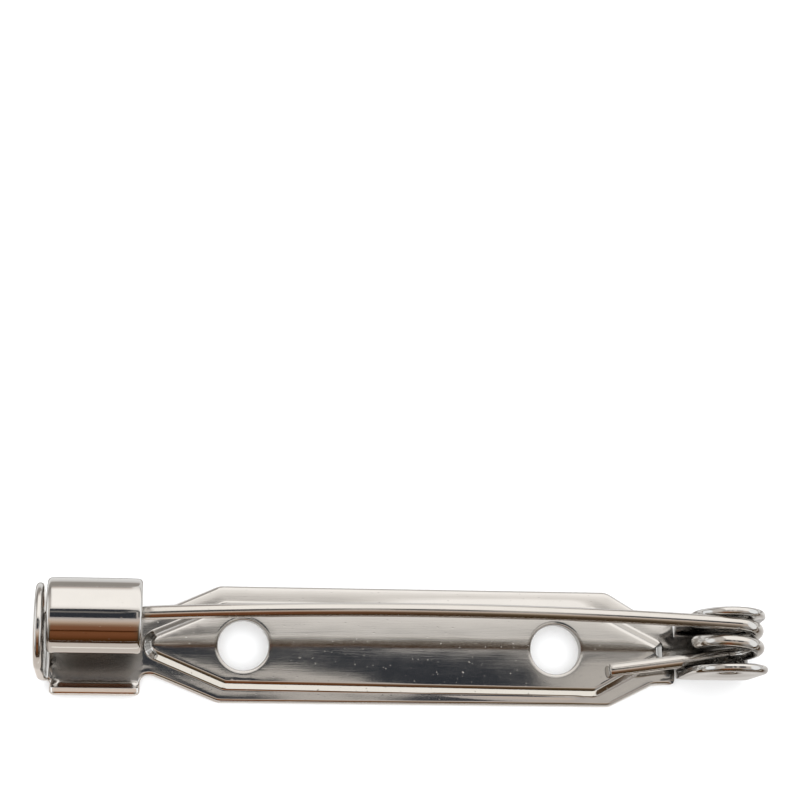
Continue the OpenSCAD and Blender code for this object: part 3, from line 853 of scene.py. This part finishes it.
for number, (x, next_x, low, next_low) in enumerate((
        (-260, -110, PALE, PALE), (-110, -48, UMBER, UMBER), (-48, -3, BROWN, BROWN),
        (-3, 40, BROWN, UMBER), (40, 80, UMBER, UMBER), (80, 140, UMBER, PALE),
        (140, 260, PALE, PALE))):
    card(f"card_low_{number}", 190, [(x, -89.8, -29), (next_x, -89.8, -29)], low, next_low)
card("card_paper_edge", 8, [(-16, -90, -84), (60, -90, -84)],
     [(-90, 1.3, 1.24, 1.15), (-84, 1.3, 1.24, 1.15)])

# %% The floor, as the metal sees it
far_floor = [(2, 1, .98, .96), (3, .95, .93, .9), (3.3, .40, .38, .36), (4.5, .40, .38, .36),
             (5.2, 1, .99, .98), (9, .92, .91, .9), (12, .75, .72, .7), (14.5, .42, .39, .36),
             (190, .42, .39, .36)]
table("table_catch", (-260, -8), 0.01,
      [(-190, .05, .02, .008), (-34, .06, .028, .012), (-28, .8, .71, .64), (0, .82, .75, .69),
       *far_floor])
table("table_bar", (-8, 12.2), 0.01,
      [(-190, .05, .028, .012), (-6, .09, .055, .03), (-3.5, .09, .055, .03),
       (-3.4, .9, .85, .8), *far_floor[:6], (190, 1.05, 1.03, 1)])
table("table_hinge", (12.2, 260), 0.01,
      [(-190, .05, .028, .012), (-4.5, .09, .055, .03), (-3.5, .5, .46, .43), *far_floor])

# %% [markdown]
# ## Light for the floor
# The floor is lit by a round lamp, which the metal does not mirror, and by an even, pale sky.
# The lamp's size and place are in metres here, as Blender takes them.

# %% Light for the floor
sky_light = bpy.data.lights.new("floor_light", "AREA")
sky_light.shape, sky_light.size, sky_light.energy = "DISK", 0.3, 0.16
sky = bpy.data.objects.new("floor_light", sky_light)
sky.location, sky.visible_glossy = (0.0, 0.02, 0.14), False
bpy.context.scene.collection.objects.link(sky)

world = bpy.data.worlds.new("pale_room")
bpy.context.scene.world = world
world.use_nodes = True
world.node_tree.nodes["Background"].inputs["Color"].default_value = (0.97, 0.985, 1.0, 1)
world.node_tree.nodes["Background"].inputs["Strength"].default_value = 1.25
bpy.context.scene.view_settings.view_transform = "Standard"

# %% [markdown]
# ## Camera
# The camera stands nearly above the part, a little to the near side and to the catch's end,
# about ten centimetres away, and looks past the part so that it sits low in the picture. The
# picture is square, and the lens is given for a sensor 36 mm wide.

# %% Camera
EYE, AIM, LENS = (-11.586, -14.020 - SHIFT, 96.212), (0.102, 11.604 - SHIFT, 0.0), 97.47
RIGHT = (0.99281, -0.00363, 0.11964)
eye, aim = Vector(EYE), Vector(AIM)
forward = (aim - eye).normalized()
right = (Vector(RIGHT) - forward * Vector(RIGHT).dot(forward)).normalized()
up = right.cross(forward)
camera = bpy.data.objects.new("camera", bpy.data.cameras.new("camera"))
bpy.context.scene.collection.objects.link(camera)
camera.matrix_world = (Matrix.Translation(eye * MM)
                       @ Matrix((right, up, -forward)).transposed().to_4x4())
camera.data.lens, camera.data.sensor_width = LENS, 36.0
camera.data.clip_start, camera.data.clip_end = 0.001, 20.0
bpy.context.scene.camera = camera
print("camera", [round(v, 2) for v in EYE], "mm")
